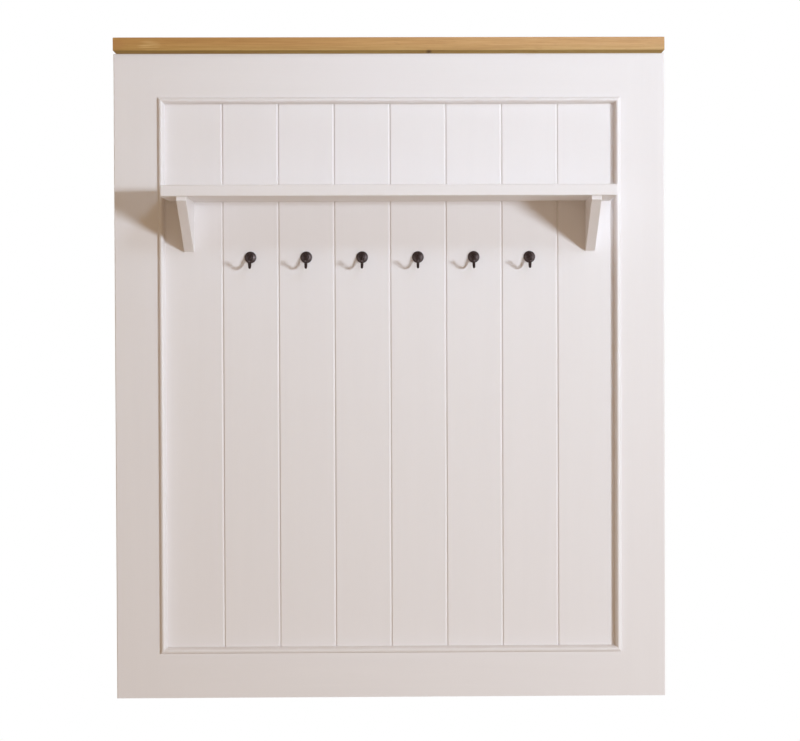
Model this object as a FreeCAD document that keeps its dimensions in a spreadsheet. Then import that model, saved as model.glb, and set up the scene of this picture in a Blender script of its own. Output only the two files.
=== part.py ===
import FreeCAD, Part
import math
import os

import Sketcher

# Wall coat rack: a painted frame round eight V-jointed planks, an oak cap, a bracketed shelf and six
# hooks. Millimetres. X runs across the rack, +Z is up, the wall is the plane y = 0 and the front
# faces -Y. The origin is on the wall plane, at the middle of the width and level with the lower edge.

os.makedirs("parts", exist_ok=True)
doc = FreeCAD.newDocument("wall_coat_rack")

# Driving sizes
SIZES = {
    "rack_width": 1000,
    "rack_height": 1200,
    "frame_thick": 34,
    "stile_width": 80,
    "top_rail_width": 79,
    "bottom_rail_width": 81,
    "frame_arris_radius": 2,
    "rebate_width": 10,
    "panel_recess": 10,
    "tenon_thick": 12,
    "tenon_length": 30,
    "tenon_shoulder": 12,
    "joint_clearance": 0.2,
    "cap_thick": 29,
    "cap_overhang": 9,
    "cap_chamfer": 5.5,
    "cap_arris_radius": 1.5,
    "cap_dowel_radius": 4,
    "cap_dowel_bite": 18,
    "cap_dowel_inset": 20,
    "plank_count": 8,
    "plank_thick": 12,
    "plank_end_gap": 1,
    "vee_leg": 2.4,
    "tongue_length": 5,
    "tongue_thick": 3.6,
    "tongue_clearance": 0.2,
    "moulding_width": 13.5,
    "moulding_proud": 6,
    "moulding_foot": 5,
    "moulding_crest_radius": 4,
    "shelf_drop": 188.5,
    "shelf_thick": 20,
    "shelf_depth": 176,
    "shelf_end_gap": 4.75,
    "shelf_arris_radius": 2,
    "bracket_thick": 18,
    "bracket_inset": 27.5,
    "bracket_depth": 168,
    "bracket_drop": 90.5,
    "bracket_toe": 4.5,
    "bracket_nose": 7,
    "bracket_arris_radius": 1.2,
    "bracket_dowel_radius": 3,
    "bracket_dowel_bite": 10,
    "hook_drop": 101.5,
    "rosette_radius": 10.8,
    "rosette_rim": 2.4,
    "rosette_thick": 9,
    "rosette_boss_radius": 3.2,
    "prong_radius": 2.2,
    "prong_root_bend": 4,
    "prong_fall_length": 11.7,
    "prong_fall_angle": 62,
    "prong_cup_radius": 13,
    "prong_rise_length": 16.5,
    "prong_rise_angle": 25,
    "prong_ball_radius": 3.8,
    "prong_bite": 8,
    "prong_clearance": 0.05,
    "board_end_gap": 2,
    "back_board_margin": 20,
    "batten_width": 50,
    "cleat_depth": 45,
    "cleat_gap": 0.3,
    "wall_screw_radius": 2.75,
    "wall_screw_pitch": 200,
    "wall_screw_sink": 2.5,
    "screw_radius": 2,
    "screw_head_radius": 4,
    "screw_head_sink": 0.5,
    "screw_clearance": 0.1,
    "shelf_screw_bite": 26,
    "bracket_screw_bite": 18,
    "bracket_screw_inset": 14,
    "frame_screw_bite": 7,
}

# Places and lengths that follow from the driving sizes
PLACES = {
    "half_width": "sizes.rack_width / 2",
    "frame_height": "sizes.rack_height - sizes.cap_thick",
    "opening_half": "half_width - sizes.stile_width",
    "opening_bottom": "sizes.bottom_rail_width",
    "opening_top": "frame_height - sizes.top_rail_width",
    "rebate_half": "opening_half + sizes.rebate_width",
    "rebate_bottom": "opening_bottom - sizes.rebate_width",
    "rebate_top": "opening_top + sizes.rebate_width",
    "panel_front": "sizes.frame_thick - sizes.panel_recess",
    "panel_back": "panel_front - sizes.plank_thick",
    "tenon_back": "(panel_front - sizes.tenon_thick) / 2",
    "tenon_front": "tenon_back + sizes.tenon_thick",
    "outer_dowel": "half_width - sizes.cap_dowel_inset",
    "inner_dowel": "outer_dowel / 3",
    "batten_thick": "panel_back",
    "plank_half": "rebate_half - sizes.plank_end_gap",
    "plank_bottom": "rebate_bottom + sizes.plank_end_gap",
    "plank_height": "rebate_top - sizes.plank_end_gap - plank_bottom",
    "foot_half": "opening_half - sizes.moulding_width",
    "plank_pitch": "2 * foot_half / sizes.plank_count",
    "half_pitch": "plank_pitch / 2",
    "moulding_height": "sizes.panel_recess + sizes.moulding_proud",
    "crest_height": "moulding_height - sizes.moulding_crest_radius",
    "slope_run": "sizes.moulding_width - sizes.moulding_crest_radius",
    "slope_fall": "crest_height - sizes.moulding_foot",
    "slope_reach": "sqrt(slope_run * slope_run + slope_fall * slope_fall)",
    "slope_turn": "acos(sizes.moulding_crest_radius / slope_reach) - atan(slope_fall / slope_run)",
    "slope_top": "sizes.moulding_crest_radius * (1 + cos(slope_turn))",
    "slope_height": "crest_height + sizes.moulding_crest_radius * sin(slope_turn)",
    "shelf_underside": "opening_top - sizes.shelf_drop",
    "shelf_half": "foot_half - sizes.shelf_end_gap",
    "bracket_centre": "shelf_half - sizes.bracket_inset - sizes.bracket_thick / 2",
    "bracket_bottom": "shelf_underside - sizes.bracket_drop",
    "near_dowel": "sizes.bracket_depth / 4",
    "far_dowel": "3 * sizes.bracket_depth / 4",
    "hook_height": "shelf_underside - sizes.hook_drop",
    "shelf_screw_height": "shelf_underside + sizes.shelf_thick / 2",
    "upper_bracket_screw": "shelf_underside - sizes.bracket_screw_inset",
    "lower_bracket_screw": "bracket_bottom + sizes.bracket_screw_inset",
    "board_half": "rebate_half - sizes.board_end_gap",
    "back_board_bottom": "hook_height - sizes.back_board_margin",
    "back_board_top": "shelf_underside + sizes.shelf_thick + sizes.back_board_margin",
    "bottom_batten_top": "rebate_bottom + sizes.batten_width",
    "mid_batten_bottom": "(back_board_bottom + bottom_batten_top - sizes.batten_width) / 2",
    "cleat_front": "rebate_top - sizes.cleat_depth",
    "cleat_back": "cleat_front - batten_thick",
    "wall_cleat_bottom": "cleat_back - sizes.batten_width",
    "wall_screw_height": "wall_cleat_bottom + sizes.batten_width / 2",
    "top_screw_height": "opening_top + sizes.rebate_width / 2",
    "bottom_screw_height": "opening_bottom - sizes.rebate_width / 2",
    "dome_run": "sizes.rosette_radius - sizes.rosette_boss_radius",
    "dome_fall": "sizes.rosette_thick - sizes.rosette_rim",
    "dome_middle": "(sizes.rosette_radius + sizes.rosette_boss_radius) / 2",
    "dome_rise": "dome_middle * dome_run / dome_fall - dome_fall / 2",
    "dome_radius": "sqrt(sizes.rosette_radius ^ 2 + dome_rise ^ 2)",
    "shank_length": "sizes.prong_bite + sizes.plank_thick + sizes.rosette_thick",
    "bend_out": "sizes.prong_root_bend * sin(sizes.prong_fall_angle * 1 deg)",
    "bend_down": "sizes.prong_root_bend * (1 - cos(sizes.prong_fall_angle * 1 deg))",
    "fall_out": "sizes.prong_fall_length * cos(sizes.prong_fall_angle * 1 deg)",
    "fall_down": "sizes.prong_fall_length * sin(sizes.prong_fall_angle * 1 deg)",
    "cup_out": "sizes.prong_cup_radius * sin(sizes.prong_fall_angle * 1 deg)",
    "cup_down": "sizes.prong_cup_radius * (1 - cos(sizes.prong_fall_angle * 1 deg))",
    "lip_out": "sizes.prong_cup_radius * sin(sizes.prong_rise_angle * 1 deg)",
    "lip_up": "sizes.prong_cup_radius * (1 - cos(sizes.prong_rise_angle * 1 deg))",
    "rise_out": "sizes.prong_rise_length * cos(sizes.prong_rise_angle * 1 deg)",
    "rise_up": "sizes.prong_rise_length * sin(sizes.prong_rise_angle * 1 deg)",
}


def fill_sheet(name, entries):
    """One row per entry: its name in column A, its value in column B, with the name as alias."""
    sheet = doc.addObject("Spreadsheet::Sheet", name)
    for row, (alias, value) in enumerate(entries.items(), start=1):
        sheet.set(f"A{row}", alias)
        sheet.set(f"B{row}", str(value) if isinstance(value, (int, float)) else "=" + value)
        sheet.setAlias(f"B{row}", alias)
    return sheet


sizes = fill_sheet("sizes", SIZES)
doc.recompute()
places = fill_sheet("places", PLACES)
doc.recompute()

INTO_WALL = FreeCAD.Rotation(FreeCAD.Vector(1, 0, 0), -90)
OUT_OF_WALL = FreeCAD.Rotation(FreeCAD.Vector(1, 0, 0), 90)
UPRIGHT = FreeCAD.Rotation()
LOOSE_SCREW = "sizes.screw_radius + sizes.screw_clearance"
PRONG_HOLE = "sizes.prong_radius + sizes.prong_clearance"
HAIR = 1e-4

PLANKS = SIZES["plank_count"]
HOOK_PLANKS = range(2, PLANKS)
FRAME_SCREW_PLANKS = [plank for plank in range(1, PLANKS + 1) if min(plank, PLANKS + 1 - plank) % 2]
SHELF_SCREW_PLANKS = [plank for plank in HOOK_PLANKS if plank not in FRAME_SCREW_PLANKS]
SIDES = {"left": -1, "right": 1}
BRACKET_SCREWS = {"upper": "places.upper_bracket_screw", "lower": "places.lower_bracket_screw"}
CAP_DOWELS = {"inner": "places.inner_dowel", "outer": "places.outer_dowel"}
BRACKET_DOWELS = {"near": "places.near_dowel", "far": "places.far_dowel"}

nodes = []


def plank_centre(number):
    """The middle of a plank, counted from the left."""
    return f"({number} - 0.5 - sizes.plank_count / 2) * places.plank_pitch"


def amount(text):
    """The present value of an expression, as a plain number."""
    value = sizes.evalExpression(text)
    return float(getattr(value, "Value", value))


def bind_base(item, base):
    """Ties an object's position to three expressions."""
    for axis, text in zip("xyz", base):
        item.setExpression(f"Placement.Base.{axis}", text)


def new_body(label, base=("0", "0", "0"), turn=UPRIGHT):
    """A piece made of one body, standing at its own place."""
    body = doc.addObject("PartDesign::Body", label)
    body.Label = label
    body.Placement = FreeCAD.Placement(FreeCAD.Vector(), turn)
    bind_base(body, base)
    nodes.append(body)
    return body


def box(body, kind, name, low, high):
    """A box feature from its low corner to its high corner, each given as three expressions."""
    block = body.newObject(f"PartDesign::{kind}Box", name)
    for size, start, end in zip(("Length", "Width", "Height"), low, high):
        block.setExpression(size, f"({end}) - ({start})")
    bind_base(block, low)
    return block


def rod(body, kind, name, radius, length, base, turn=OUT_OF_WALL):
    """A round feature along the turned axis."""
    bar = body.newObject(f"PartDesign::{kind}Cylinder", name)
    bar.Placement = FreeCAD.Placement(FreeCAD.Vector(), turn)
    bar.setExpression("Radius", radius)
    bar.setExpression("Height", length)
    bind_base(bar, base)
    return bar


def sink(body, name, mouth, throat, base, turn):
    """The 45-degree hollow for a countersunk head, from its mouth's radius down to its throat's."""
    cone = body.newObject("PartDesign::SubtractiveCone", name)
    cone.Placement = FreeCAD.Placement(FreeCAD.Vector(), turn)
    cone.setExpression("Radius1", mouth)
    cone.setExpression("Radius2", throat)
    cone.setExpression("Height", f"({mouth}) - ({throat})")
    bind_base(cone, base)
    return cone


def screw_passage(body, name, x, z):
    """A countersunk hole through a board whose back is the wall plane."""
    mouth = "sizes.screw_head_radius + sizes.screw_head_sink + sizes.screw_clearance"
    sink(body, f"{name}_sink", mouth, LOOSE_SCREW, (x, "0", z), OUT_OF_WALL)
    rod(body, "Subtractive", f"{name}_hole", LOOSE_SCREW, "places.batten_thick", (x, "0", z))


def new_sketch(body, name, role):
    """An empty sketch on one of the body's origin planes."""
    sketch = body.newObject("Sketcher::SketchObject", name)
    plane = [part for part in body.Origin.OriginFeatures if part.Role == role][0]
    sketch.AttachmentSupport = [(plane, "")]
    sketch.MapMode = "FlatFace"
    return sketch


def draw(body, name, role, corners, closed=True):
    """A constrained outline. A corner is (across, up) or, where the edge that leaves it is round,
    (across, up, radius, turn), with turn 1 for an anticlockwise edge and -1 for a clockwise one."""
    sketch = new_sketch(body, name, role)
    points = [FreeCAD.Vector(amount(corner[0]), amount(corner[1]), 0) for corner in corners]
    count = len(corners) if closed else len(corners) - 1
    ends = []
    for index in range(count):
        start = points[index]
        end = points[(index + 1) % len(points)]
        if len(corners[index]) == 2:
            sketch.addGeometry(Part.LineSegment(start, end), False)
            ends.append((1, 2))
            continue
        radius = amount(corners[index][2])
        turn = corners[index][3]
        half = (end - start) / 2
        side = FreeCAD.Vector(-half.y, half.x, 0).normalize() * turn
        centre = start + half + side * math.sqrt(radius * radius - half.Length * half.Length)
        first, last = (start, end) if turn > 0 else (end, start)
        circle = Part.Circle(centre, FreeCAD.Vector(0, 0, 1), radius)
        from_angle = math.atan2(first.y - centre.y, first.x - centre.x)
        to_angle = math.atan2(last.y - centre.y, last.x - centre.x)
        sketch.addGeometry(Part.ArcOfCircle(circle, from_angle, to_angle), False)
        ends.append((1, 2) if turn > 0 else (2, 1))
        place = sketch.addConstraint(Sketcher.Constraint("Radius", index, radius))
        sketch.setExpression(f"Constraints[{place}]", corners[index][2])
    joins = count if closed else count - 1
    for index in range(joins):
        after = (index + 1) % count
        sketch.addConstraint(
            Sketcher.Constraint("Coincident", index, ends[index][1], after, ends[after][0]))
    for index, corner in enumerate(corners):
        edge = min(index, count - 1)
        end = ends[edge][0] if index < count else ends[edge][1]
        for kind, text, value in (("DistanceX", corner[0], points[index].x),
                                  ("DistanceY", corner[1], points[index].y)):
            place = sketch.addConstraint(Sketcher.Constraint(kind, edge, end, value))
            sketch.setExpression(f"Constraints[{place}]", text)
    return sketch


def pad(body, sketch, length, centred=False):
    """Thickens a sketch square to its plane."""
    solid = body.newObject("PartDesign::Pad", "pad")
    solid.Profile = sketch
    solid.setExpression("Length", length)
    solid.Midplane = centred
    return solid


def dress(body, kind, size, name, chosen):
    """A fillet or chamfer on the edges of the body's tip for which chosen is true."""
    doc.recompute()
    base = body.Tip
    picked = [f"Edge{number}" for number, edge in enumerate(base.Shape.Edges, start=1) if chosen(edge)]
    feature = body.newObject(f"PartDesign::{kind}", name)
    feature.Base = (base, picked)
    feature.setExpression("Radius" if kind == "Fillet" else "Size", size)
    return feature


def near(value, target):
    """True where two lengths agree to within a hair."""
    return abs(value - amount(target)) < HAIR


def lies_at(edge, low=(None, None, None), high=(None, None, None)):
    """True where an edge's box touches each given limit on both sides."""
    bounds = edge.BoundBox
    lows = (bounds.XMin, bounds.YMin, bounds.ZMin)
    highs = (bounds.XMax, bounds.YMax, bounds.ZMax)
    return all(want is None or near(have, want) for have, want in zip(lows + highs, low + high))


DOWEL_FOOT = "places.frame_height - sizes.cap_dowel_bite - sizes.joint_clearance"


def cap_dowel_hole(body, x, z):
    """An upright hole for half the length of a dowel between the frame and its cap."""
    rod(body, "Subtractive", "cap_dowel_hole", "sizes.cap_dowel_radius + sizes.joint_clearance",
        "sizes.cap_dowel_bite + sizes.joint_clearance", (x, "-sizes.frame_thick / 2", z), UPRIGHT)


# Frame: two stiles with a lip in front and a rebate behind, and two rails tenoned into them
def make_stile(label, side):
    body = new_body(label)
    outer, lip, rebate = "places.half_width", "places.opening_half", "places.rebate_half"

    def span(inner, far):
        return (inner, far) if side > 0 else (f"-{far}", f"-{inner}")

    low, high = span(lip, outer)
    box(body, "Additive", "lip", (low, "-sizes.frame_thick", "0"),
        (high, "-places.panel_front", "places.frame_height"))
    low, high = span(rebate, outer)
    box(body, "Additive", "back", (low, "-places.panel_front", "0"), (high, "0", "places.frame_height"))
    slack = "sizes.joint_clearance"
    low, high = span(rebate, f"(places.rebate_half + sizes.tenon_length + {slack})")
    for name, bottom, top in (("top", "places.rebate_top", "places.frame_height"),
                              ("bottom", "0", "places.rebate_bottom")):
        box(body, "Subtractive", f"{name}_mortise",
            (low, f"-places.tenon_front - {slack}", f"{bottom} + sizes.tenon_shoulder - {slack}"),
            (high, f"-places.tenon_back + {slack}", f"{top} - sizes.tenon_shoulder + {slack}"))
    cap_dowel_hole(body, f"{side} * places.outer_dowel", DOWEL_FOOT)
    corner = (f"{side} * places.half_width", "-sizes.frame_thick", None)
    dress(body, "Fillet", "sizes.frame_arris_radius", "arris", lambda edge: lies_at(edge, corner, corner))


def make_rail(label, inner, rebate, outer, screw_height):
    """inner, rebate and outer are the heights of the lip's edge, the rebate's wall and the outer edge."""
    body = new_body(label)
    upward = amount(outer) > amount(inner)
    lip = (inner, outer) if upward else (outer, inner)
    back = (rebate, outer) if upward else (outer, rebate)
    box(body, "Additive", "lip", ("-places.opening_half", "-sizes.frame_thick", lip[0]),
        ("places.opening_half", "-places.panel_front", lip[1]))
    box(body, "Additive", "back", ("-places.rebate_half", "-places.panel_front", back[0]),
        ("places.rebate_half", "0", back[1]))
    box(body, "Additive", "tenons",
        ("-places.rebate_half - sizes.tenon_length", "-places.tenon_front",
         f"{back[0]} + sizes.tenon_shoulder"),
        ("places.rebate_half + sizes.tenon_length", "-places.tenon_back",
         f"{back[1]} - sizes.tenon_shoulder"))
    for plank in FRAME_SCREW_PLANKS:
        rod(body, "Subtractive", "screw_hole", LOOSE_SCREW, "sizes.frame_screw_bite + sizes.screw_clearance",
            (plank_centre(plank), "-places.panel_front", screw_height))
    return body


for word, side in SIDES.items():
    make_stile(f"{word}_stile", side)
top_rail = make_rail("top_rail", "places.opening_top", "places.rebate_top", "places.frame_height",
                     "places.top_screw_height")
for side in SIDES.values():
    cap_dowel_hole(top_rail, f"{side} * places.inner_dowel", DOWEL_FOOT)
make_rail("bottom_rail", "places.opening_bottom", "places.rebate_bottom", "0", "places.bottom_screw_height")

# Oak cap: flush with the frame at both ends, proud of it in front, chamfered under its nose and ends
cap = new_body("oak_cap")
box(cap, "Additive", "blank",
    ("-places.half_width", "-sizes.frame_thick - sizes.cap_overhang", "places.frame_height"),
    ("places.half_width", "0", "sizes.rack_height"))
for side in SIDES.values():
    for x in CAP_DOWELS.values():
        cap_dowel_hole(cap, f"{side} * {x}", "places.frame_height")
dress(cap, "Chamfer", "sizes.cap_chamfer", "under_chamfer",
      lambda edge: near(edge.BoundBox.ZMax, "places.frame_height") and len(edge.Vertexes) == 2
      and not near(edge.BoundBox.YMin, "0"))
dress(cap, "Fillet", "sizes.cap_arris_radius", "top_arris",
      lambda edge: near(edge.BoundBox.ZMin, "sizes.rack_height") and not near(edge.BoundBox.YMin, "0"))


# Planks: V joints in front, tongue on the right edge, groove on the left
def make_plank(number):
    left = f"({plank_centre(number)} - places.half_pitch)"
    body = new_body(f"plank_{number}", (left, "-places.panel_back", "places.plank_bottom"))
    pitch, vee, front = "places.plank_pitch", "sizes.vee_leg", "-sizes.plank_thick"
    extra = "(places.plank_half - places.foot_half)"
    mid = "-sizes.plank_thick / 2"
    slack = "sizes.tongue_clearance"
    if number < PLANKS:
        tip = f"{pitch} + sizes.tongue_length"
        corners = [(pitch, "0"),
                   (pitch, f"{mid} + sizes.tongue_thick / 2"),
                   (tip, f"{mid} + sizes.tongue_thick / 2"),
                   (tip, f"{mid} - sizes.tongue_thick / 2"),
                   (pitch, f"{mid} - sizes.tongue_thick / 2"),
                   (pitch, f"{front} + {vee}"), (f"{pitch} - {vee}", front)]
    else:
        corners = [(f"{pitch} + {extra}", "0"), (f"{pitch} + {extra}", front)]
    if number > 1:
        depth = f"sizes.tongue_length + {slack}"
        reach = f"sizes.tongue_thick / 2 + {slack}"
        corners += [(vee, front), ("0", f"{front} + {vee}"),
                    ("0", f"{mid} - ({reach})"), (depth, f"{mid} - ({reach})"),
                    (depth, f"{mid} + {reach}"), ("0", f"{mid} + {reach}"), ("0", "0")]
    else:
        corners += [(f"-{extra}", front), (f"-{extra}", "0")]
    pad(body, draw(body, "section", "XY_Plane", corners), "places.plank_height")

    def bore(name, x, height, radius=LOOSE_SCREW):
        rod(body, "Subtractive", name, radius, "sizes.plank_thick",
            (x, "0", f"{height} - places.plank_bottom"))

    middle = "places.half_pitch"
    if number in HOOK_PLANKS:
        bore("hook_hole", middle, "places.hook_height", PRONG_HOLE)
    if number in SHELF_SCREW_PLANKS:
        bore("shelf_screw_hole", middle, "places.shelf_screw_height")
    if number in FRAME_SCREW_PLANKS:
        bore("top_screw_hole", middle, "places.top_screw_height")
        bore("bottom_screw_hole", middle, "places.bottom_screw_height")
    for side, plank in ((-1, 1), (1, PLANKS)):
        if number == plank:
            for word, height in BRACKET_SCREWS.items():
                bore(f"{word}_bracket_screw_hole", f"{side} * places.bracket_centre - {left}", height)


for number in range(1, PLANKS + 1):
    make_plank(number)


# Bead moulding: crest beside the frame, long slope down to a low foot on the planks, ends mitred
def make_moulding(label, length, base, turn):
    body = new_body(label, base, FreeCAD.Rotation(FreeCAD.Vector(0, 1, 0), turn))
    width, radius = "sizes.moulding_width", "sizes.moulding_crest_radius"
    section = draw(body, "section", "XY_Plane", [
        ("0", "0"),
        ("0", f"{radius} - places.moulding_height", radius, 1),
        ("places.slope_top", "-places.slope_height"),
        (width, "-sizes.moulding_foot"),
        (width, "0"),
    ])
    bar = pad(body, section, length)
    doc.recompute()
    volume = bar.Shape.Volume
    corners = {
        "near": [("0", "0"), (width, width), (width, "0")],
        "far": [("0", length), (width, length), (width, f"{length} - {width}")],
    }
    for name, triangle in corners.items():
        mitre = body.newObject("PartDesign::Pocket", f"{name}_mitre")
        mitre.Profile = draw(body, f"{name}_corner", "XZ_Plane", triangle)
        mitre.Type = "ThroughAll"
        mitre.Midplane = True
        doc.recompute()
        assert mitre.Shape.Volume < volume
        volume = mitre.Shape.Volume


SIDE_LENGTH = "places.opening_top - places.opening_bottom"
CROSS_LENGTH = "2 * places.opening_half"
FACE = "-places.panel_front"
make_moulding("moulding_left", SIDE_LENGTH, ("-places.opening_half", FACE, "places.opening_bottom"), 0)
make_moulding("moulding_right", SIDE_LENGTH, ("places.opening_half", FACE, "places.opening_top"), 180)
make_moulding("moulding_top", CROSS_LENGTH, ("-places.opening_half", FACE, "places.opening_top"), 90)
make_moulding("moulding_bottom", CROSS_LENGTH, ("places.opening_half", FACE, "places.opening_bottom"), -90)


def bracket_dowel_hole(body, x, y, z):
    """An upright hole for half the length of a dowel between a bracket and the shelf."""
    rod(body, "Subtractive", "bracket_dowel_hole", "sizes.bracket_dowel_radius + sizes.joint_clearance",
        "sizes.bracket_dowel_bite + sizes.joint_clearance", (x, y, z), UPRIGHT)


# Shelf: stands against the planks between the side mouldings, with all free arrises eased
shelf = new_body("shelf")
box(shelf, "Additive", "blank",
    ("-places.shelf_half", "-places.panel_front - sizes.shelf_depth", "places.shelf_underside"),
    ("places.shelf_half", "-places.panel_front", "places.shelf_underside + sizes.shelf_thick"))
dress(shelf, "Fillet", "sizes.shelf_arris_radius", "arris",
      lambda edge: not near(edge.BoundBox.YMin, "-places.panel_front"))
for plank in SHELF_SCREW_PLANKS:
    rod(shelf, "Subtractive", "screw_hole", LOOSE_SCREW, "sizes.shelf_screw_bite + sizes.screw_clearance",
        (plank_centre(plank), "-places.panel_front", "places.shelf_screw_height"))
for side in SIDES.values():
    for out in BRACKET_DOWELS.values():
        bracket_dowel_hole(shelf, f"{side} * places.bracket_centre", f"-places.panel_front - {out}",
                           "places.shelf_underside")


# Brackets: upright back on the planks, slanted front, small nose under the shelf
def make_bracket(label, side):
    body = new_body(label,
                    (f"{side} * places.bracket_centre", "-places.panel_front", "places.bracket_bottom"))
    drop, deep = "sizes.bracket_drop", "sizes.bracket_depth"
    outline = draw(body, "outline", "YZ_Plane", [
        ("0", "0"), ("0", drop), (f"-{deep}", drop), (f"-{deep}", f"{drop} - sizes.bracket_nose"),
        ("-sizes.bracket_toe", "0")])
    pad(body, outline, "sizes.bracket_thick", centred=True)
    dress(body, "Fillet", "sizes.bracket_arris_radius", "arris",
          lambda edge: edge.BoundBox.YMax < -HAIR and edge.BoundBox.XLength < HAIR)
    for word, height in BRACKET_SCREWS.items():
        rod(body, "Subtractive", f"{word}_screw_hole", LOOSE_SCREW,
            "sizes.bracket_screw_bite + sizes.screw_clearance",
            ("0", "0", f"{height} - places.bracket_bottom"))
    for out in BRACKET_DOWELS.values():
        bracket_dowel_hole(body, "0", f"-{out}",
                           f"{drop} - sizes.bracket_dowel_bite - sizes.joint_clearance")


for word, side in SIDES.items():
    make_bracket(f"{word}_bracket", side)


# Hooks: a domed rosette on the plank, and a prong that runs through it, falls, cups and rises to a ball
def make_rosette(number, x):
    body = new_body(f"hook_rosette_{number}", (x, "-places.panel_front", "places.hook_height"))
    half = draw(body, "half_section", "XY_Plane", [
        (PRONG_HOLE, "0"),
        (PRONG_HOLE, "-sizes.rosette_thick"),
        ("sizes.rosette_boss_radius", "-sizes.rosette_thick", "places.dome_radius", 1),
        ("sizes.rosette_radius", "-sizes.rosette_rim"),
        ("sizes.rosette_radius", "0"),
    ])
    turned = body.newObject("PartDesign::Revolution", "turned")
    turned.Profile = half
    turned.ReferenceAxis = (half, ["V_Axis"])
    turned.Angle = 360


def make_prong(number, x):
    body = new_body(f"hook_prong_{number}", (x, "sizes.prong_bite - places.panel_back", "places.hook_height"))
    shank = "-places.shank_length"
    bend = (f"{shank} - places.bend_out", "-places.bend_down")
    fall = (f"{bend[0]} - places.fall_out", f"{bend[1]} - places.fall_down")
    lip = (f"{fall[0]} - places.cup_out - places.lip_out",
           f"{fall[1]} - places.cup_down + places.lip_up")
    tip = (f"{lip[0]} - places.rise_out", f"{lip[1]} + places.rise_up")
    spine = draw(body, "spine", "YZ_Plane", [
        ("0", "0"),
        (shank, "0", "sizes.prong_root_bend", 1),
        bend,
        (*fall, "sizes.prong_cup_radius", -1),
        lip,
        tip,
    ], closed=False)
    section = new_sketch(body, "section", "XZ_Plane")
    radius = amount("sizes.prong_radius")
    section.addGeometry(Part.Circle(FreeCAD.Vector(), FreeCAD.Vector(0, 0, 1), radius), False)
    section.addConstraint(Sketcher.Constraint("Coincident", 0, 3, -1, 1))
    section.addConstraint(Sketcher.Constraint("Radius", 0, radius))
    section.setExpression("Constraints[1]", "sizes.prong_radius")
    doc.recompute()
    pipe = body.newObject("PartDesign::AdditivePipe", "bent_rod")
    pipe.Profile = section
    pipe.Spine = (spine, [f"Edge{number}" for number in range(1, len(spine.Shape.Edges) + 1)])
    doc.recompute()
    ball = body.newObject("PartDesign::AdditiveSphere", "ball")
    ball.setExpression("Radius", "sizes.prong_ball_radius")
    bind_base(ball, ("0", tip[0], tip[1]))


for number, plank in enumerate(HOOK_PLANKS, start=1):
    make_rosette(number, plank_centre(plank))
    make_prong(number, plank_centre(plank))

# Boards across the back of the planks, level with the back of the frame
back_board = new_body("back_board")
box(back_board, "Additive", "blank",
    ("-places.board_half", "-places.batten_thick", "places.back_board_bottom"),
    ("places.board_half", "0", "places.back_board_top"))
for plank in SHELF_SCREW_PLANKS:
    screw_passage(back_board, "shelf_screw", plank_centre(plank), "places.shelf_screw_height")
for side in SIDES.values():
    for word, height in BRACKET_SCREWS.items():
        screw_passage(back_board, f"{word}_bracket_screw", f"{side} * places.bracket_centre", height)
PRONG_HOLE_DEPTH = "sizes.prong_bite + sizes.screw_clearance"
for plank in HOOK_PLANKS:
    rod(back_board, "Subtractive", "hook_hole", PRONG_HOLE, PRONG_HOLE_DEPTH,
        (plank_centre(plank), f"{PRONG_HOLE_DEPTH} - places.batten_thick", "places.hook_height"))

mid_batten = new_body("mid_batten")
box(mid_batten, "Additive", "blank",
    ("-places.board_half", "-places.batten_thick", "places.mid_batten_bottom"),
    ("places.board_half", "0", "places.mid_batten_bottom + sizes.batten_width"))

bottom_batten = new_body("bottom_batten")
box(bottom_batten, "Additive", "blank",
    ("-places.board_half", "-places.batten_thick", "places.rebate_bottom"),
    ("places.board_half", "0", "places.bottom_batten_top"))
for plank in FRAME_SCREW_PLANKS:
    screw_passage(bottom_batten, "screw", plank_centre(plank), "places.bottom_screw_height")

# Hanging cleats: the frame's bevel drops behind the wall cleat's bevel
frame_cleat = new_body("frame_cleat")
outline = draw(frame_cleat, "outline", "YZ_Plane", [
    ("0", "places.cleat_back + sizes.cleat_gap"),
    ("0", "places.rebate_top"),
    ("-places.batten_thick", "places.rebate_top"),
    ("-places.batten_thick", "places.cleat_front + sizes.cleat_gap"),
])
pad(frame_cleat, outline, "2 * places.board_half", centred=True)
for plank in FRAME_SCREW_PLANKS:
    screw_passage(frame_cleat, "screw", plank_centre(plank), "places.top_screw_height")

wall_cleat = new_body("wall_cleat")
outline = draw(wall_cleat, "outline", "YZ_Plane", [
    ("0", "places.wall_cleat_bottom"),
    ("0", "places.cleat_back"),
    ("-places.batten_thick", "places.cleat_front"),
    ("-places.batten_thick", "places.wall_cleat_bottom"),
])
pad(wall_cleat, outline, "2 * places.board_half", centred=True)
for steps in (-3, -1, 1, 3):
    x = f"{steps} * sizes.wall_screw_pitch / 2"
    rod(wall_cleat, "Subtractive", "wall_screw_hole", "sizes.wall_screw_radius", "places.batten_thick",
        (x, "0", "places.wall_screw_height"))
    sink(wall_cleat, "wall_screw_sink", "sizes.wall_screw_radius + sizes.wall_screw_sink",
         "sizes.wall_screw_radius", (x, "-places.batten_thick", "places.wall_screw_height"), INTO_WALL)


# Fixings, each kind in one group
def make_group(label, items):
    """Separate solids of one kind under one name."""
    group = doc.addObject("Part::Compound", label)
    group.Label = label
    group.Links = items
    nodes.append(group)


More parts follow.
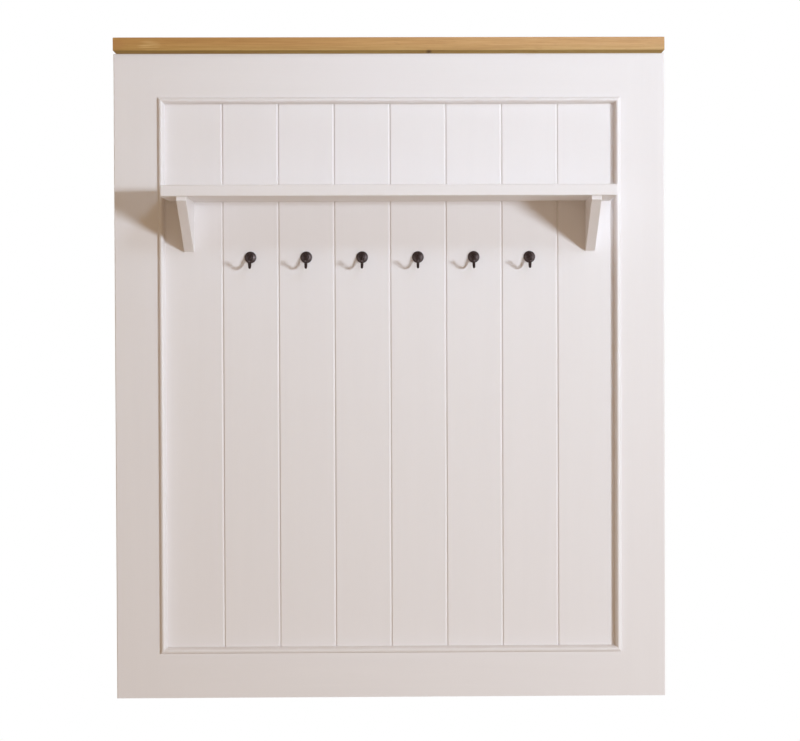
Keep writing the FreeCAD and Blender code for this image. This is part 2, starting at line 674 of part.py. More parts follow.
def make_screw(name, x, z, bite):
    """A countersunk screw driven from behind through the board and a plank, and on by its bite."""
    head = doc.addObject("Part::Cone", f"{name}_head")
    shank = doc.addObject("Part::Cylinder", f"{name}_shank")
    for piece in (head, shank):
        piece.Placement = FreeCAD.Placement(FreeCAD.Vector(), OUT_OF_WALL)
    head.setExpression("Radius1", "sizes.screw_head_radius")
    head.setExpression("Radius2", "sizes.screw_radius")
    head.setExpression("Height", "sizes.screw_head_radius - sizes.screw_radius")
    bind_base(head, (x, "-sizes.screw_head_sink", z))
    neck = "-sizes.screw_head_sink - sizes.screw_head_radius + sizes.screw_radius"
    shank.setExpression("Radius", "sizes.screw_radius")
    shank.setExpression("Height", f"({neck}) + places.panel_front + {bite}")
    bind_base(shank, (x, neck, z))
    screw = doc.addObject("Part::Fuse", name)
    screw.Base = head
    screw.Tool = shank
    return screw


def make_dowel(name, radius, bite, x, y, joint):
    """An upright dowel that bites as deep below a joint as above it."""
    dowel = doc.addObject("Part::Cylinder", name)
    dowel.setExpression("Radius", radius)
    dowel.setExpression("Height", f"2 * {bite}")
    bind_base(dowel, (x, y, f"{joint} - {bite}"))
    return dowel


make_group("cleat_screws", [
    make_screw("cleat_screw", plank_centre(plank), "places.top_screw_height", "sizes.frame_screw_bite")
    for plank in FRAME_SCREW_PLANKS])
make_group("bottom_batten_screws", [
    make_screw("batten_screw", plank_centre(plank), "places.bottom_screw_height", "sizes.frame_screw_bite")
    for plank in FRAME_SCREW_PLANKS])
make_group("shelf_screws", [
    make_screw("shelf_screw", plank_centre(plank), "places.shelf_screw_height", "sizes.shelf_screw_bite")
    for plank in SHELF_SCREW_PLANKS])
make_group("bracket_screws", [
    make_screw("bracket_screw", f"{side} * places.bracket_centre", height, "sizes.bracket_screw_bite")
    for side in SIDES.values() for height in BRACKET_SCREWS.values()])
make_group("cap_dowels", [
    make_dowel("cap_dowel", "sizes.cap_dowel_radius", "sizes.cap_dowel_bite", f"{side} * {x}",
               "-sizes.frame_thick / 2", "places.frame_height")
    for side in SIDES.values() for x in CAP_DOWELS.values()])
make_group("bracket_dowels", [
    make_dowel("bracket_dowel", "sizes.bracket_dowel_radius", "sizes.bracket_dowel_bite",
               f"{side} * places.bracket_centre", f"-places.panel_front - {out}", "places.shelf_underside")
    for side in SIDES.values() for out in BRACKET_DOWELS.values()])

doc.recompute()
for item in doc.Objects:
    assert "Invalid" not in item.State and "Error" not in item.State, (item.Label, item.State)
for node in nodes:
    assert not node.Shape.isNull() and node.Shape.isValid(), node.Label
    node.Shape.exportStep(f"parts/{node.Label}.step")
    print(node.Label, len(node.Shape.Solids), round(node.Shape.Volume / 1000, 2), "cm3")
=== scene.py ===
import math

import bpy
from mathutils import Matrix, Vector


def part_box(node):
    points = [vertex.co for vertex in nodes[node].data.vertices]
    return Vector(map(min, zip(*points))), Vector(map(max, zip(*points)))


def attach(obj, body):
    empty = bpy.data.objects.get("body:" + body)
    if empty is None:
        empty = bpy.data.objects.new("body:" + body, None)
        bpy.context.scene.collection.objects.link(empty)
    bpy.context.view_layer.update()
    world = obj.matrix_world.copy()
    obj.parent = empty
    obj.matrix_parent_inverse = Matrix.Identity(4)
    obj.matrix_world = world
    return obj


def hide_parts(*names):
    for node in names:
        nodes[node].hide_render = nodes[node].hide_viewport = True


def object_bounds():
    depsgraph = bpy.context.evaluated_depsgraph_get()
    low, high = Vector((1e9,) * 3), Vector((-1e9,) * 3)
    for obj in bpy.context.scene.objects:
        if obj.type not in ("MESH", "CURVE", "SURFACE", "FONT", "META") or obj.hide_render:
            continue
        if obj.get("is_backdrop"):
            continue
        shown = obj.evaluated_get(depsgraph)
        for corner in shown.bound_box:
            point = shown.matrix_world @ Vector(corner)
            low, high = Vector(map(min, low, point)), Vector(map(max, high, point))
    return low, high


# Wall coat rack: a white painted frame round V-jointed planks, an oak cap, a shelf on two brackets
# and six dark bronze hooks. Metres, X across, Z up, the wall is y = 0 and the front faces -Y.

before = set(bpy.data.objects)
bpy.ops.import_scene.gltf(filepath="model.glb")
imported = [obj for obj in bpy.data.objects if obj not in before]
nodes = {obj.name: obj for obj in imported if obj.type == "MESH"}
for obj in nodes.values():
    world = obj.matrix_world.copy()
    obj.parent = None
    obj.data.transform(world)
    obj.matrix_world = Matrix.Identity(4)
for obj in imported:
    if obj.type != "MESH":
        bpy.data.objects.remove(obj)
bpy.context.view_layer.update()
mm = 0.001
mergeGap = 0.001 * mm  # points nearer than this are made one
print("frame loaded with", len(nodes), "nodes")


def linear(hexColour):
    # sRGB hex to the linear values that Blender's sockets take
    channels = [int(hexColour[i:i + 2], 16) / 255 for i in (1, 3, 5)]
    return [c / 12.92 if c <= 0.04045 else ((c + 0.055) / 1.055) ** 2.4 for c in channels] + [1.0]


def addNode(tree, kind, inputs=None, stops=None, **settings):
    # one shader node with its settings; an input is a value or another node's output
    node = tree.nodes.new("ShaderNode" + kind)
    for name, value in settings.items():
        setattr(node, name, value)
    for name, value in (inputs or {}).items():
        if isinstance(value, bpy.types.NodeSocket):
            tree.links.new(value, node.inputs[name])
        else:
            node.inputs[name].default_value = value
    for index, (place, colour) in enumerate(stops or []):
        elements = node.color_ramp.elements
        stop = elements[index] if index < 2 else elements.new(place)
        stop.position = place
        stop.color = linear(colour)
    return node


def newMaterial(name):
    material = bpy.data.materials.new(name)
    material.use_nodes = True
    tree = material.node_tree
    tree.nodes.clear()
    return material, tree


def finishMaterial(tree, colour, roughness, inputs=None):
    shader = addNode(tree, "BsdfPrincipled",
                     {"Base Color": colour, "Roughness": roughness, **(inputs or {})})
    addNode(tree, "OutputMaterial", {"Surface": shader.outputs["BSDF"]})


def alongAxis(axis, along, across):
    # texture scale per axis for a pattern that is long one way, from its real lengths in metres
    return [1 / along if i == "XYZ".index(axis) else 1 / across for i in range(3)]


# Camera, 4.79 m in front of the wall, just right of the middle and nearly level
cameraSetup = {
    "place": (0.0341, -4.794, 0.6339),
    "turns": {"X": 1.111, "Y": -0.227, "Z": 1.028},  # degrees, applied in this order to the world
    "focalPixels": 2613.7,
    "axisPixel": (456.2, 400),  # where the lens axis meets the picture
    "picture": (800, 741),
    "sensor": 36,  # millimetres
    "sees": 60,  # metres
}


def makeCamera(setup):
    width, height = setup["picture"]
    data = bpy.data.cameras.new("camera")
    data.sensor_width = setup["sensor"]
    data.lens = setup["focalPixels"] / width * setup["sensor"]
    data.shift_x = (width / 2 - setup["axisPixel"][0]) / width
    data.shift_y = (setup["axisPixel"][1] - height / 2) / width
    data.clip_end = setup["sees"]
    camera = bpy.data.objects.new("camera", data)
    turn = Matrix.Identity(3)
    for axis, degrees in setup["turns"].items():
        turn = Matrix.Rotation(math.radians(degrees), 3, axis) @ turn
    aim = turn.transposed() @ Matrix.Rotation(math.radians(90), 3, "X")
    camera.matrix_world = Matrix.Translation(setup["place"]) @ aim.to_4x4()
    bpy.context.scene.collection.objects.link(camera)
    bpy.context.scene.camera = camera


makeCamera(cameraSetup)
print("camera set")

# Lights: a small key from the right at the rack's own height, a weak one from above, one for the back
# that the rack keeps off its front, and a warm pale room
lampSetup = {
    "key": {"place": (2.93, -3.7, 0.9), "target": (0, 0, 0.6), "size": (0.9, 0.45), "spread": 180,
            "power": 161, "colour": "#e1efff"},
    "above": {"place": (1.3, -3.2, 2.6), "target": (0.2, 0, 1.4), "size": (0.8, 0.8), "spread": 40,
              "power": 2.2, "colour": "#cde5ff"},
    "behind": {"place": (-2.6, 5.6, 1.9), "target": (0, 0, 0.6), "size": (1.6, 1.6), "spread": 180,
               "power": 210, "colour": "#e9f1ff"},
}
roomLight = {"colour": "#ffd9ab", "strength": 0.36}


def makeLamp(name, setup):
    data = bpy.data.lights.new(name, "AREA")
    data.shape = "ELLIPSE"
    data.size, data.size_y = setup["size"]
    data.spread = math.radians(setup["spread"])
    data.energy = setup["power"]
    data.color = linear(setup["colour"])[:3]
    lamp = bpy.data.objects.new(name, data)
    lamp.location = setup["place"]
    lamp.rotation_euler = (Vector(setup["target"]) - lamp.location).to_track_quat("-Z", "Y").to_euler()
    bpy.context.scene.collection.objects.link(lamp)


for name, setup in lampSetup.items():
    makeLamp(name, setup)


def roomShader(tree, kind):
    # white where it is looked at or mirrored, and the room's own light for everything else
    path = addNode(tree, "LightPath").outputs
    seen = path["Is Camera Ray"]
    for ray in ("Is Glossy Ray", "Is Transmission Ray"):
        seen = addNode(tree, "Math", {0: seen, 1: path[ray]}, operation="MAXIMUM").outputs[0]
    lit = addNode(tree, kind, {"Color": linear(roomLight["colour"]), "Strength": roomLight["strength"]})
    shown = addNode(tree, kind, {"Color": linear("#ffffff"), "Strength": 1})
    return addNode(tree, "MixShader", {0: seen, 1: lit.outputs[0], 2: shown.outputs[0]})


world = bpy.data.worlds.new("room")
bpy.context.scene.world = world
world.use_nodes = True
world.node_tree.nodes.clear()
addNode(world.node_tree, "OutputWorld", {"Surface": roomShader(world.node_tree, "Background").outputs[0]})
bpy.context.scene.view_settings.view_transform = "Standard"
print("lights and room set")

# Painted wood: satin acrylic over softwood, brushed along each board. The brush lines are 1.5 mm
# apart, too fine for the picture, so a broader unevenness of 24 mm is drawn with them.
paint = {
    "colours": [(0.3, "#e8e2df"), (0.7, "#eae4e1")],
    "brush": (90 * mm, 1.5 * mm),
    "unevenness": (300 * mm, 24 * mm),
    "strokeShare": 0.4,
    "bump": {"Strength": 0.5, "Distance": 0.02 * mm},
    "roughness": (0.4, 0.48),
}
# Sawn softwood: yellow early wood with browner late-wood lines that run with the board, dull
pine = {
    "colours": [(0.25, "#c79a63"), (0.5, "#dcb681"), (0.75, "#e8c998")],
    "rings": (420 * mm, 7 * mm),
    "fibre": (60 * mm, 0.8 * mm),
    "fibreShare": 0.25,
    "bump": {"Strength": 0.4, "Distance": 0.1 * mm},
    "roughness": 0.72,
    "behindPaint": 0.75,  # roughness of a painted board's bare back
}


def pineColour(tree, place, axis):
    rings = addNode(tree, "Mapping", {"Vector": place, "Scale": alongAxis(axis, *pine["rings"])})
    wander = addNode(tree, "TexNoise",
                     {"Vector": rings.outputs[0], "Scale": 1, "Detail": 3, "Roughness": 0.55})
    fibre = addNode(tree, "Mapping", {"Vector": place, "Scale": alongAxis(axis, *pine["fibre"])})
    fine = addNode(tree, "TexNoise", {"Vector": fibre.outputs[0], "Scale": 1, "Detail": 2})
    both = addNode(tree, "Mix", {0: pine["fibreShare"], 2: wander.outputs[0], 3: fine.outputs[0]})
    return addNode(tree, "ValToRGB", {0: both.outputs[0]}, stops=pine["colours"]).outputs[0]


def paintedWood(name, axis, bareFrom=None):
    # bareFrom is the y behind which the board was left as sawn
    material, tree = newMaterial(name)
    place = addNode(tree, "TexCoord").outputs["Object"]
    brush = addNode(tree, "Mapping", {"Vector": place, "Scale": alongAxis(axis, *paint["brush"])})
    strokes = addNode(tree, "TexNoise", {"Vector": brush.outputs[0], "Scale": 1, "Detail": 3})
    broad = addNode(tree, "Mapping", {"Vector": place, "Scale": alongAxis(axis, *paint["unevenness"])})
    cloud = addNode(tree, "TexNoise", {"Vector": broad.outputs[0], "Scale": 1, "Detail": 2})
    tone = addNode(tree, "Mix", {0: paint["strokeShare"], 2: cloud.outputs[0], 3: strokes.outputs[0]})
    colour = addNode(tree, "ValToRGB", {0: tone.outputs[0]}, stops=paint["colours"]).outputs[0]
    low, high = paint["roughness"]
    gloss = addNode(tree, "MapRange", {"Value": cloud.outputs[0], "To Min": low, "To Max": high}).outputs[0]
    if bareFrom is not None:
        depth = addNode(tree, "SeparateXYZ", {0: place}).outputs["Y"]
        bare = addNode(tree, "Math", {0: depth, 1: bareFrom}, operation="GREATER_THAN").outputs[0]
        colour = addNode(tree, "Mix", {0: bare, 6: colour, 7: pineColour(tree, place, axis)},
                         data_type="RGBA").outputs[2]
        gloss = addNode(tree, "Mix", {0: bare, 2: gloss, 3: pine["behindPaint"]}).outputs[0]
    bump = addNode(tree, "Bump", {"Height": tone.outputs[0], **paint["bump"]})
    finishMaterial(tree, colour, gloss, {"Normal": bump.outputs[0]})
    return material


def barePine(name, axis):
    material, tree = newMaterial(name)
    place = addNode(tree, "TexCoord").outputs["Object"]
    colour = pineColour(tree, place, axis)
    bump = addNode(tree, "Bump", {"Height": colour, **pine["bump"]})
    finishMaterial(tree, colour, pine["roughness"], {"Normal": bump.outputs[0]})
    return material


# Oak, planed and oiled: long straight grain with darker pores, warm brown with a soft sheen. The board
# is browner towards its left end, where a reddish patch and pale streaks lie, and a small knot sits on the
# lower arris right of the middle. Each zone's tint grows from one place on its axis to the other.
oak = {
    "colours": [(0.3, "#b58550"), (0.5, "#c3965e"), (0.7, "#d0a670")],
    "bands": (420 * mm, 7 * mm),
    "grain": (70 * mm, 1.9 * mm),
    "grainShare": 0.5,
    "pores": (26 * mm, 1.1 * mm),
    "poreSpan": (0.6, 0.78),  # of the noise, from where a pore starts to where it is full
    "poreColour": "#a57645",
    "zones": [
        {"axis": "X", "from": 0.3, "to": -0.4, "tint": "#eae1c0"},  # browner towards the left end
        {"axis": "Z", "from": 1.1885, "to": 1.179, "tint": "#f6fcf4"},  # yellower towards the lower edge
        {"axis": "Z", "from": 1.1772, "to": 1.1758, "tint": "#d3dac9"},  # painted shade: darker, greener tone on the downward-facing lower chamfer
    ],
    "reddish": {"middle": (-0.492, -0.052, 1.186), "reach": (20 * mm, 14 * mm, 14 * mm),
                "colour": "#a8693c", "strength": 0.6},
    "streaks": {"middle": (-0.435, -0.052, 1.186), "reach": (30 * mm, 14 * mm, 13 * mm),
                "colour": "#e3c184"},
    "streakLines": (60 * mm, 2.4 * mm),
    "streakSpan": (0.42, 0.6),
    "knot": {"middle": (0.072, -0.043, 1.1735), "reach": (7 * mm, 12 * mm, 4.5 * mm),
             "colour": "#4a3116", "strength": 0.9},
    "markCore": 0.3,  # share of a mark's reach where it is full
    "bump": {"Strength": 0.4, "Distance": 0.08 * mm},
    "roughness": 0.46,
}


def markOn(tree, place, colour, mark, strength):
    # mixes a mark's colour in, full at its middle and fading out over its reach
    near = addNode(tree, "Mapping", {"Vector": place, "Location": mark["middle"], "Scale": mark["reach"]},
                   vector_type="TEXTURE")
    far = addNode(tree, "VectorMath", {0: near.outputs[0]}, operation="LENGTH").outputs["Value"]
    share = addNode(tree, "MapRange",
                    {"Value": far, "From Min": 1, "From Max": oak["markCore"], "To Max": strength})
    return addNode(tree, "Mix", {0: share.outputs[0], 6: colour, 7: linear(mark["colour"])},
                   data_type="RGBA").outputs[2]


def oiledOak(name):
    material, tree = newMaterial(name)
    place = addNode(tree, "TexCoord").outputs["Object"]
    found = {}
    for part in ("bands", "grain", "pores", "streakLines"):
        mapped = addNode(tree, "Mapping", {"Vector": place, "Scale": alongAxis("X", *oak[part])})
        noise = addNode(tree, "TexNoise", {"Vector": mapped.outputs[0], "Scale": 1, "Detail": 3})
        found[part] = noise.outputs[0]
    tone = addNode(tree, "Mix", {0: oak["grainShare"], 2: found["bands"], 3: found["grain"]}).outputs[0]
    colour = addNode(tree, "ValToRGB", {0: tone}, stops=oak["colours"]).outputs[0]
    start, full = oak["poreSpan"]
    pores = addNode(tree, "MapRange", {"Value": found["pores"], "From Min": start, "From Max": full})
    colour = addNode(tree, "Mix", {0: pores.outputs[0], 6: colour, 7: linear(oak["poreColour"])},
                     data_type="RGBA").outputs[2]
    apart = addNode(tree, "SeparateXYZ", {0: place}).outputs
    for zone in oak["zones"]:
        share = addNode(tree, "MapRange",
                        {"Value": apart[zone["axis"]], "From Min": zone["from"], "From Max": zone["to"]})
        colour = addNode(tree, "Mix", {0: share.outputs[0], 6: colour, 7: linear(zone["tint"])},
                         data_type="RGBA", blend_type="MULTIPLY").outputs[2]
    colour = markOn(tree, place, colour, oak["reddish"], oak["reddish"]["strength"])
    start, full = oak["streakSpan"]
    lines = addNode(tree, "MapRange", {"Value": found["streakLines"], "From Min": start, "From Max": full})
    colour = markOn(tree, place, colour, oak["streaks"], lines.outputs[0])
    colour = markOn(tree, place, colour, oak["knot"], oak["knot"]["strength"])
    bump = addNode(tree, "Bump", {"Height": tone, **oak["bump"]})
    finishMaterial(tree, colour, oak["roughness"], {"Normal": bump.outputs[0]})
    return material


# Bronze, cast and darkened: a deep brown, satin, paler and smoother where the patina is thin
bronze = {
    "colours": [(0.3, "#433937"), (0.6, "#534846"), (0.8, "#665b56")],
    "edge": "#8a8078",
    "patina": 4 * mm,
    "bump": {"Strength": 0.3, "Distance": 0.05 * mm},
    "roughness": (0.48, 0.36),
}
# Zinc: cold-headed steel under bright plating, pale grey with a faint mottle
zinc = {"colours": [(0.3, "#a9abad"), (0.7, "#c6c7c7")], "mottle": 1.5 * mm, "roughness": 0.34}
# Beech, turned: pale pinkish brown with short flecks
beech = {"colours": [(0.35, "#c99f76"), (0.6, "#dcb993")], "flecks": (6 * mm, 0.7 * mm), "roughness": 0.6}


def darkBronze(name):
    material, tree = newMaterial(name)
    place = addNode(tree, "TexCoord").outputs["Object"]
    patina = addNode(tree, "TexNoise", {"Vector": place, "Scale": 1 / bronze["patina"], "Detail": 4})
    colour = addNode(tree, "ValToRGB", {0: patina.outputs[0]}, stops=bronze["colours"]).outputs[0]
    rough, smooth = bronze["roughness"]
    gloss = addNode(tree, "MapRange", {"Value": patina.outputs[0], "To Min": rough, "To Max": smooth})
    bump = addNode(tree, "Bump", {"Height": patina.outputs[0], **bronze["bump"]})
    finishMaterial(tree, colour, gloss.outputs[0], {"Normal": bump.outputs[0], "Metallic": 1.0,
                                                    "Specular Tint": linear(bronze["edge"])})
    return material


def zincSteel(name):
    material, tree = newMaterial(name)
    place = addNode(tree, "TexCoord").outputs["Object"]
    mottle = addNode(tree, "TexNoise", {"Vector": place, "Scale": 1 / zinc["mottle"], "Detail": 3})
    colour = addNode(tree, "ValToRGB", {0: mottle.outputs[0]}, stops=zinc["colours"])
    finishMaterial(tree, colour.outputs[0], zinc["roughness"], {"Metallic": 1.0})
    return material


def beechWood(name):
    material, tree = newMaterial(name)
    place = addNode(tree, "TexCoord").outputs["Object"]
    mapped = addNode(tree, "Mapping", {"Vector": place, "Scale": alongAxis("Z", *beech["flecks"])})
    flecks = addNode(tree, "TexNoise", {"Vector": mapped.outputs[0], "Scale": 1, "Detail": 2})
    colour = addNode(tree, "ValToRGB", {0: flecks.outputs[0]}, stops=beech["colours"])
    finishMaterial(tree, colour.outputs[0], beech["roughness"])
    return material


def dress(material, *starts):
    # gives the material to each CAD node whose name starts that way
    for name, node in nodes.items():
        if name.startswith(starts):
            for index in range(max(1, len(node.material_slots))):
                if index < len(node.material_slots):
                    node.material_slots[index].material = material
                else:
                    node.data.materials.append(material)


# Hook: a turned rosette and a bent rod through it, modelled once and copied to its six places.
# Here the rosette's back is y = 0 and its middle z = 0; each pair is a radius and how far it stands out.
rosette = {
    "segments": 40,
    "profile": [(10.8, 1.3), (10.7, 1.9), (10.3, 2.25), (9.8, 2.35), (9.5, 2.3), (9.2, 2.8), (8.2, 3.45),
                (6.6, 4.2), (5.2, 4.85), (4.7, 5.3), (4.4, 6.2), (4.2, 7.8), (3.8, 8.7), (3.1, 9.2),
                (2.2, 9.3)],
}
prong = {
    "segments": 20,
    "radius": 2.9 * mm,
    "tipRadius": 2.0 * mm,  # the rod thins evenly from its root to its ball
    "start": 4.5 * mm,  # inside the rosette
    "root": 9 * mm,
    "rootBend": (4 * mm, 62),  # radius, degrees
    "fall": 11.7 * mm,
    "cupBend": (13 * mm, 95),
    "rise": 12.5 * mm,
    "bendStep": 8,  # degrees
    "ballRadius": 3.7 * mm,
    "ballRings": 9,
    "ballEnd": 172,  # degrees round the ball to its last ring
}
hookFinish = {"levels": 1, "smooth": 50}  # degrees


def startPiece(radius, segments, back):
    # a disc that faces the room, in edit mode and all selected
    bpy.ops.object.select_all(action="DESELECT")
    bpy.ops.mesh.primitive_circle_add(vertices=segments, radius=radius, fill_type="NGON",
                                      location=(0, back, 0), rotation=(math.radians(90), 0, 0))
    bpy.ops.object.transform_apply(location=True, rotation=True, scale=True)
    bpy.ops.object.mode_set(mode="EDIT")
    bpy.ops.mesh.select_all(action="SELECT")


def pull(move):
    bpy.ops.mesh.extrude_region_move(TRANSFORM_OT_translate={"value": move})


def widen(ratio, centre):
    bpy.ops.transform.resize(value=(ratio, ratio, ratio), center_override=centre)


def finishHook(name):
    # closes, turns the faces outwards, rounds and smooths
    bpy.ops.mesh.select_all(action="SELECT")
    bpy.ops.mesh.remove_doubles(threshold=mergeGap)
    bpy.ops.mesh.normals_make_consistent(inside=False)
    bpy.ops.object.mode_set(mode="OBJECT")
    piece = bpy.context.object
    piece.name = piece.data.name = name
    rounder = piece.modifiers.new("rounder", "SUBSURF")
    rounder.levels = rounder.render_levels = hookFinish["levels"]
    bpy.ops.object.modifier_apply(modifier="rounder")
    bpy.ops.object.shade_smooth_by_angle(angle=math.radians(hookFinish["smooth"]))
    return piece


def makeRosette(setup):
    profile = [(radius * mm, out * mm) for radius, out in setup["profile"]]
    startPiece(profile[0][0], setup["segments"], 0)
    oldRadius, oldOut = profile[0][0], 0
    for radius, out in profile:
        pull((0, oldOut - out, 0))
        widen(radius / oldRadius, (0, -out, 0))
        oldRadius, oldOut = radius, out
    return finishHook("hook_rosette_shape")


def thinTo(setup, share, thick, centre):
    # narrows the rod's open end to what it should be that far along, and returns its new radius
    newThick = setup["radius"] + share * (setup["tipRadius"] - setup["radius"])
    widen(newThick / thick, centre)
    return newThick


def makeProng(setup):
    place = Vector((0, -setup["root"], 0))
    startPiece(setup["radius"], setup["segments"], -setup["start"])
    pull((0, setup["start"] - setup["root"], 0))
    heading = Vector((0, -1, 0))
    parts = ((setup["rootBend"], 1, setup["fall"]), (setup["cupBend"], -1, setup["rise"]))
    length = sum(math.radians(degrees) * radius + run for (radius, degrees), turn, run in parts)
    thick, done = setup["radius"], 0
    for (radius, degrees), turn, run in parts:
        side = Matrix.Rotation(turn * math.radians(90), 3, "X") @ heading
        centre = place + radius * side
        steps = round(degrees / setup["bendStep"])
        for step in range(steps):
            angle = turn * math.radians(degrees / steps)
            swing = Matrix.Rotation(angle, 3, "X")
            target = centre + swing @ (place - centre)
            pull(target - place)
            bpy.ops.transform.rotate(value=-angle, orient_axis="X", center_override=target)
            done += abs(angle) * radius
            thick = thinTo(setup, done / length, thick, target)
            place, heading = target, swing @ heading
        pull(run * heading)
        place = place + run * heading
        done += run
        thick = thinTo(setup, done / length, thick, place)
    # the ball at the tip, ring by ring
    ball, rings = setup["ballRadius"], setup["ballRings"]
    first = math.asin(thick / ball)
    ringRadius, reach = thick, -ball * math.cos(first)
    for step in range(1, rings + 1):
        angle = first + (math.radians(setup["ballEnd"]) - first) * step / rings
        newRadius, newReach = ball * math.sin(angle), -ball * math.cos(angle)
        pull((newReach - reach) * heading)
        place = place + (newReach - reach) * heading
        widen(newRadius / ringRadius, place)
        ringRadius, reach = newRadius, newReach
    return finishHook("hook_prong_shape")


def copyPiece(shape, name, node, place, material):
    piece = bpy.data.objects.new(name, shape.data.copy())
    piece.data.transform(Matrix.Translation(place))
    piece.data.materials.append(material)
    bpy.context.scene.collection.objects.link(piece)
    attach(piece, "root")
    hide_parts(node)


# Panel moulding: a round bead that stands a little proud of the frame, so that it shades the planks
# beside it. Pairs are the distance from the frame and the height over the planks, in millimetres.
moulding = {
    "section": [(0, 11.6), (0.5, 12.9), (1.5, 14.1), (2.8, 15), (4.2, 15.4), (5.6, 15.3), (6.9, 14.6),
                (8.1, 13.2), (9, 11.4), (9.7, 9), (10.4, 6), (11, 2.5), (11.3, 0.8), (11.3, 0), (0, 0)],
    "smooth": 40,  # degrees
    "notchGap": 0.3 * mm,  # round the ends of the shelf
}


def notchForShelf(piece, gap):
    # cuts the foot away where the end of the shelf stands on the planks
    low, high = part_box("shelf")
    bpy.ops.object.select_all(action="DESELECT")
    bpy.ops.mesh.primitive_cube_add(size=1, location=(low + high) / 2)
    cutter = bpy.context.object
    cutter.scale = [size + 2 * gap for size in high - low]
    bpy.ops.object.transform_apply(location=False, rotation=False, scale=True)
    notch = piece.modifiers.new("notch", "BOOLEAN")
    notch.operation, notch.object, notch.solver = "DIFFERENCE", cutter, "EXACT"
    bpy.ops.object.select_all(action="DESELECT")
    piece.select_set(True)
    bpy.context.view_layer.objects.active = piece
    bpy.ops.object.modifier_apply(modifier="notch")
    bpy.data.objects.remove(cutter)


def makeMoulding(name, turn, setup):
    # made upright along Z as the left-hand one, then turned to its own side
    low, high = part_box(name)
    length = max(high.x - low.x, high.z - low.z)
    section = [(away * mm, height * mm) for away, height in setup["section"]]
    bpy.ops.object.select_all(action="DESELECT")
    bpy.ops.mesh.primitive_plane_add(size=1, location=(0, -section[0][1] / 2, 0),
                                     rotation=(0, math.radians(90), 0))
    piece = bpy.context.object
    piece.name = piece.data.name = name + "_shaped"
    piece.scale = (length, section[0][1], 1)
    bpy.ops.object.transform_apply(location=True, rotation=True, scale=True)
    bpy.ops.object.mode_set(mode="EDIT")
    bpy.ops.mesh.select_all(action="DESELECT")
    bpy.ops.object.mode_set(mode="OBJECT")
    for edge in piece.data.edges:
        edge.select = all(piece.data.vertices[i].co.y < 0 for i in edge.vertices)
    bpy.ops.object.mode_set(mode="EDIT")
    bpy.ops.mesh.select_mode(type="EDGE")
    oldAway, oldHeight = section[0]
    for away, height in section[1:]:
        # each step out from the frame is shorter, which makes the mitres
        pull((away - oldAway, oldHeight - height, 0))
        bpy.ops.transform.resize(value=(1, 1, (length - 2 * away) / (length - 2 * oldAway)),
                                 center_override=(away, -height, 0))
        oldAway, oldHeight = away, height
    bpy.ops.mesh.select_all(action="SELECT")
    bpy.ops.mesh.remove_doubles(threshold=mergeGap)
    bpy.ops.mesh.select_all(action="DESELECT")
    bpy.ops.mesh.select_non_manifold()
    bpy.ops.mesh.fill()
    bpy.ops.mesh.select_all(action="SELECT")
    bpy.ops.mesh.normals_make_consistent(inside=False)
    bpy.ops.mesh.select_mode(type="VERT")
    bpy.ops.object.mode_set(mode="OBJECT")
    middle = (low + high) / 2
    corner = {0: (low.x, high.y, middle.z), 180: (high.x, high.y, middle.z),
              90: (middle.x, high.y, high.z), -90: (middle.x, high.y, low.z)}[turn]
    piece.location = corner
    piece.rotation_euler = (0, math.radians(turn), 0)
    bpy.ops.object.transform_apply(location=True, rotation=True, scale=True)
    if turn in (0, 180):
        notchForShelf(piece, setup["notchGap"])
    bpy.ops.object.shade_smooth_by_angle(angle=math.radians(setup["smooth"]))
    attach(piece, "root")
    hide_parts(name)
    return piece


mouldings = {name: makeMoulding(name, turn, moulding) for name, turn in (
    ("moulding_left", 0), ("moulding_right", 180), ("moulding_top", 90), ("moulding_bottom", -90))}
print("mouldings made")

bronzeFinish = darkBronze("darkened_bronze")
shapes = {"rosette": makeRosette(rosette), "prong": makeProng(prong)}
for number in range(1, 7):
    low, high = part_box(f"hook_rosette_{number}")
    place = ((low.x + high.x) / 2, high.y, (low.z + high.z) / 2)
    for part, shape in shapes.items():
        copyPiece(shape, f"hook_{number}_{part}", f"hook_{part}_{number}", place, bronzeFinish)
for shape in shapes.values():
    bpy.data.objects.remove(shape)
print("hooks made")

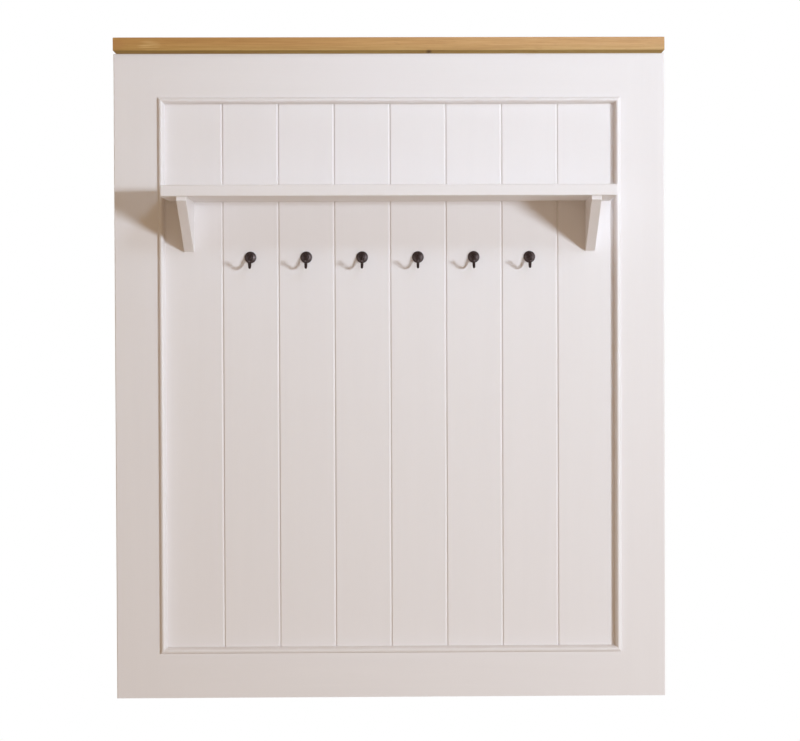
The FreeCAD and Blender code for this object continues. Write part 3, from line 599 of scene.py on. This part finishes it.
# Farther back than this, the frame and the planks were left unpainted
frameBack, plankBack = -0.4 * mm, -12.4 * mm
dress(paintedWood("satin_paint_upright_board", "Z", frameBack), "left_stile", "right_stile")
dress(paintedWood("satin_paint_rail", "X", frameBack), "top_rail", "bottom_rail")
dress(paintedWood("satin_paint_plank", "Z", plankBack), "plank_")
sideTrim = paintedWood("satin_paint_side_trim", "Z")
levelTrim = paintedWood("satin_paint_level_trim", "X")
dress(sideTrim, "left_bracket", "right_bracket")
dress(levelTrim, "shelf")
for name, piece in mouldings.items():
    piece.data.materials.append(sideTrim if name in ("moulding_left", "moulding_right") else levelTrim)
dress(oiledOak("oiled_oak"), "oak_cap")
dress(barePine("sawn_pine", "X"), "back_board", "mid_batten", "bottom_batten", "frame_cleat",
      "wall_cleat")
dress(zincSteel("zinc_plated_steel"), "cleat_screws", "bottom_batten_screws", "shelf_screws",
      "bracket_screws")
dress(beechWood("turned_beech"), "cap_dowels", "bracket_dowels")
print("materials given")

# Floor: plain and pale, 0.9 m under the rack as for one hung on a wall, fading out to the room
floorSetup = {
    "height": -0.9,
    "radius": 2.6,
    "segments": 96,
    "colour": "#e9e7e4",
    "roughness": 0.9,
    "paleness": 0.55,  # share of the room's white in its middle
    "fade": (0.45, 0.98),  # where it begins to whiten and where it is all white, in radii
}


def makeFloor(setup):
    bpy.ops.mesh.primitive_circle_add(vertices=setup["segments"], radius=setup["radius"],
                                      fill_type="NGON", location=(0, 0, setup["height"]))
    floor = bpy.context.object
    floor.name = "floor"
    material, tree = newMaterial("plain_floor")
    place = addNode(tree, "TexCoord").outputs["Object"]
    reach = addNode(tree, "VectorMath", {0: place}, operation="LENGTH").outputs["Value"]
    inner, outer = [share * setup["radius"] for share in setup["fade"]]
    fade = addNode(tree, "MapRange",
                   {"Value": reach, "From Min": inner, "From Max": outer, "To Min": setup["paleness"]})
    shader = addNode(tree, "BsdfPrincipled",
                     {"Base Color": linear(setup["colour"]), "Roughness": setup["roughness"]})
    room = roomShader(tree, "Emission")
    both = addNode(tree, "MixShader", {0: fade.outputs[0], 1: shader.outputs[0], 2: room.outputs[0]})
    addNode(tree, "OutputMaterial", {"Surface": both.outputs[0]})
    floor.data.materials.append(material)
    floor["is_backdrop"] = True


makeFloor(floorSetup)
print("floor made")

low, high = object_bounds()
